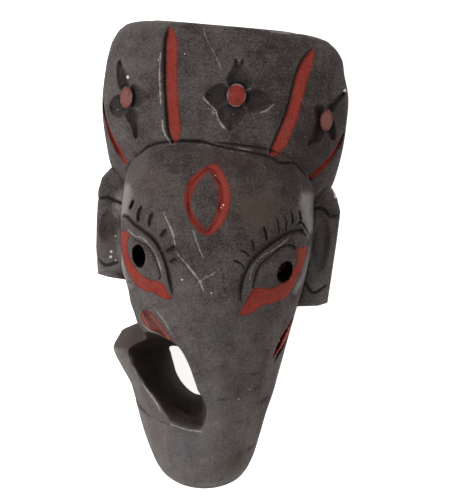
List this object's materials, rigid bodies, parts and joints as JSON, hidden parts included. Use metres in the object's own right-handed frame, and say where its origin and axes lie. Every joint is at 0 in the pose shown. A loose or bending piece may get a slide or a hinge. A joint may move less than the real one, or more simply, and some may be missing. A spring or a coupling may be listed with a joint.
{
  "type": "carved wooden elephant head mask",
  "caption": "Carved wooden mask of an elephant's head with a crown, large ears, pierced eyes and a trunk that curls up to one side round an open gap; hollow at the back.",
  "frame": {"origin": "middle of the mask's outline, on the plane of the flat back rim that it lies on", "axes": "+Z out of the face, +Y from the trunk to the top of the crown, +X to the viewer's right"},
  "size_m": [0.1601, 0.3006, 0.0915],
  "materials": {
    "stained_wood": "black-grey stained carved wood, matt and dusty, with red milk paint in the grooves and bare wood behind"
  },
  "bodies": {
    "root": {"mask": "stained_wood"}
  },
  "joints": []
}
